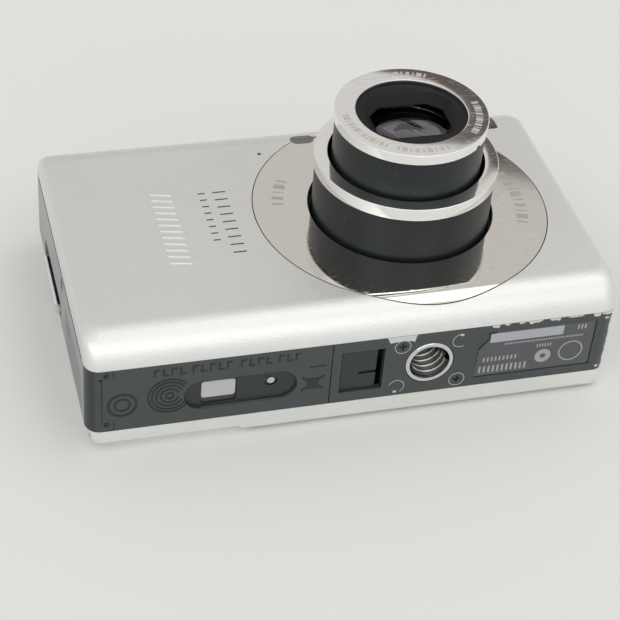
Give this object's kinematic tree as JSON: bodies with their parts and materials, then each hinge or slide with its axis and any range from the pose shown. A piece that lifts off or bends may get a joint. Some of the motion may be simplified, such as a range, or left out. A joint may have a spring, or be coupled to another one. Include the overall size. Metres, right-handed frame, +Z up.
{
  "type": "compact digital camera",
  "caption": "Slim compact digital camera with a collapsing zoom lens, polished lens ring plate, rear screen and controls, battery door, terminal cover and tripod socket.",
  "frame": {"origin": "centre of the tripod socket's mouth, in the plane of the base", "axes": "+X to the right seen from the front, +Z up from the base to the shutter button, the lens looks along -Y"},
  "size_m": [0.0874, 0.0401, 0.0566],
  "materials": {
    "shell_silver": "satin, bead blasted",
    "band_grey": "satin",
    "polished_steel": "mirror polished",
    "lens_black": "satin black",
    "mask_black": "matte black",
    "base_paint": "dark grey paint, chipped along its edges",
    "door_grey": "dark grey moulding",
    "light_grey": "light grey moulding",
    "plain_steel": "turned and plated",
    "optical_glass": "coated",
    "clear_window": "clear, smoked",
    "key_silver": "metallic paint",
    "screen_glass": "hard coated",
    "circuit_green": "solder mask",
    "inside_grey": "moulded",
    "lamp_amber": "clear moulding",
    "battery_grey": "wrapped",
    "card_blue": "moulded"
  },
  "bodies": {
    "root": {"front_shell": "shell_silver", "back_shell": "shell_silver", "left_side_cover": "band_grey", "right_side_cover": "band_grey", "top_cover": "shell_silver", "base_plate": "base_paint", "lens_ring_plate": "polished_steel", "lens_seal_ring": "lens_black", "lens_base_tube": "lens_black", "sensor_plate": "plain_steel", "image_sensor": "screen_glass", "flash_window": "clear_window", "viewfinder_window": "clear_window", "af_lamp_window": "clear_window", "strap_bar": "polished_steel", "terminal_sockets": "plain_steel", "speaker": "inside_grey", "tripod_socket": "plain_steel", "case_screws": "plain_steel", "battery_box": "inside_grey", "battery": "battery_grey", "memory_card": "card_blue", "chassis_plate": "plain_steel", "main_board": "circuit_green", "zoom_motor": "plain_steel", "flash_capacitor": "inside_grey", "flash_reflector": "polished_steel", "viewfinder_block": "inside_grey", "control_board": "circuit_green", "indicator_lamps": "lamp_amber", "screen_cover": "screen_glass", "screen_panel": "inside_grey", "viewfinder_eyepiece": "screen_glass"},
    "outer_barrel": {"outer_barrel": "lens_black", "outer_barrel_ring": "polished_steel"},
    "inner_barrel": {"inner_barrel": "lens_black", "inner_barrel_ring": "polished_steel", "front_mask": "mask_black", "front_lens": "optical_glass", "rear_lens": "optical_glass"},
    "barrier_blade_upper": {"barrier_blade_upper": "mask_black"},
    "barrier_blade_lower": {"barrier_blade_lower": "mask_black"},
    "cam_ring": {"cam_ring": "lens_black"},
    "shutter_button": {"shutter_button": "key_silver"},
    "zoom_lever": {"zoom_lever": "key_silver"},
    "power_button": {"power_button": "key_silver"},
    "print_button": {"print_button": "key_silver"},
    "playback_button": {"playback_button": "key_silver"},
    "display_button": {"display_button": "key_silver"},
    "menu_button": {"menu_button": "key_silver"},
    "set_button": {"set_button": "key_silver"},
    "four_way_pad": {"four_way_pad": "key_silver"},
    "mode_switch": {"mode_switch": "key_silver"},
    "door_hinge_block": {"door_hinge_block": "door_grey", "door_hinge_pin": "plain_steel"},
    "battery_door": {"battery_door": "door_grey", "door_lock_plate": "light_grey", "door_rivet": "plain_steel"},
    "power_lead_cover": {"power_lead_cover": "door_grey"},
    "terminal_cover": {"terminal_cover": "band_grey"}
  },
  "joints": [
    {"name": "outer_barrel_slide", "type": "slide", "parent": "root", "child": "outer_barrel", "axis": [0, 1, 0], "range_m": [0, 0.00985]},
    {"name": "inner_barrel_slide", "type": "slide", "parent": "outer_barrel", "child": "inner_barrel", "axis": [0, 1, 0], "range_m": [0, 0.0082]},
    {"name": "cam_ring_turn", "type": "hinge", "parent": "root", "child": "cam_ring", "pos_m": [0.00209, -0.00334, 0.02741], "axis": [0, 1, 0], "range_deg": [0, 120.1]},
    {"name": "barrier_upper_slide", "type": "slide", "parent": "inner_barrel", "child": "barrier_blade_upper", "axis": [0, 0, -1], "range_m": [0, 0.005]},
    {"name": "barrier_lower_slide", "type": "slide", "parent": "inner_barrel", "child": "barrier_blade_lower", "axis": [0, 0, 1], "range_m": [0, 0.005]},
    {"name": "shutter_press", "type": "slide", "parent": "root", "child": "shutter_button", "axis": [0, 0, -1], "range_m": [0, 0.0009], "stiffness_N_per_m": 250},
    {"name": "zoom_lever_turn", "type": "hinge", "parent": "root", "child": "zoom_lever", "pos_m": [-0.04285, 0.0004, 0.05492], "axis": [0, 0, 1], "range_deg": [-20, 20], "stiffness_Nm_per_rad": 0.01},
    {"name": "power_press", "type": "slide", "parent": "root", "child": "power_button", "axis": [0, 0, -1], "range_m": [0, 0.0004], "stiffness_N_per_m": 250},
    {"name": "print_press", "type": "slide", "parent": "root", "child": "print_button", "axis": [0, -1, 0], "range_m": [0, 0.0004], "stiffness_N_per_m": 250},
    {"name": "playback_press", "type": "slide", "parent": "root", "child": "playback_button", "axis": [0, -1, 0], "range_m": [0, 0.0004], "stiffness_N_per_m": 250},
    {"name": "display_press", "type": "slide", "parent": "root", "child": "display_button", "axis": [0, -1, 0], "range_m": [0, 0.0004], "stiffness_N_per_m": 250},
    {"name": "menu_press", "type": "slide", "parent": "root", "child": "menu_button", "axis": [0, -1, 0], "range_m": [0, 0.0004], "stiffness_N_per_m": 250},
    {"name": "set_press", "type": "slide", "parent": "root", "child": "set_button", "axis": [0, -1, 0], "range_m": [0, 0.0004], "stiffness_N_per_m": 250},
    {"name": "four_way_rock", "type": "hinge", "parent": "root", "child": "four_way_pad", "pos_m": [-0.04245, 0.00825, 0.0265], "axis": [1, 0, 0], "range_deg": [-1.8, 1.8], "stiffness_Nm_per_rad": 0.05},
    {"name": "mode_slide", "type": "slide", "parent": "root", "child": "mode_switch", "axis": [1, 0, 0], "range_m": [-0.003, 0.003]},
    {"name": "door_slide", "type": "slide", "parent": "root", "child": "door_hinge_block", "axis": [-1, 0, 0], "range_m": [0, 0.0025]},
    {"name": "door_swing", "type": "hinge", "parent": "door_hinge_block", "child": "battery_door", "pos_m": [-0.05215, -0.0002, 0.00085], "axis": [0, 1, 0], "range_deg": [0, 92]},
    {"name": "lead_cover_swing", "type": "hinge", "parent": "root", "child": "power_lead_cover", "pos_m": [-0.01435, 0, 0.0008], "axis": [0, 1, 0], "range_deg": [0, 70], "stiffness_Nm_per_rad": 0.002},
    {"name": "terminal_cover_swing", "type": "hinge", "parent": "root", "child": "terminal_cover", "pos_m": [-0.0549, 0.0049, 0.013], "axis": [0, 0, -1], "range_deg": [0, 100]}
  ],
  "couplings": [
    {"joint": "inner_barrel_slide", "follows": "outer_barrel_slide", "ratio": 0.83249},
    {"joint": "cam_ring_turn", "follows": "outer_barrel_slide", "rad_per_m": 212.63},
    {"joint": "barrier_upper_slide", "follows": "outer_barrel_slide", "ratio": 0.50761},
    {"joint": "barrier_lower_slide", "follows": "outer_barrel_slide", "ratio": 0.50761}
  ]
}
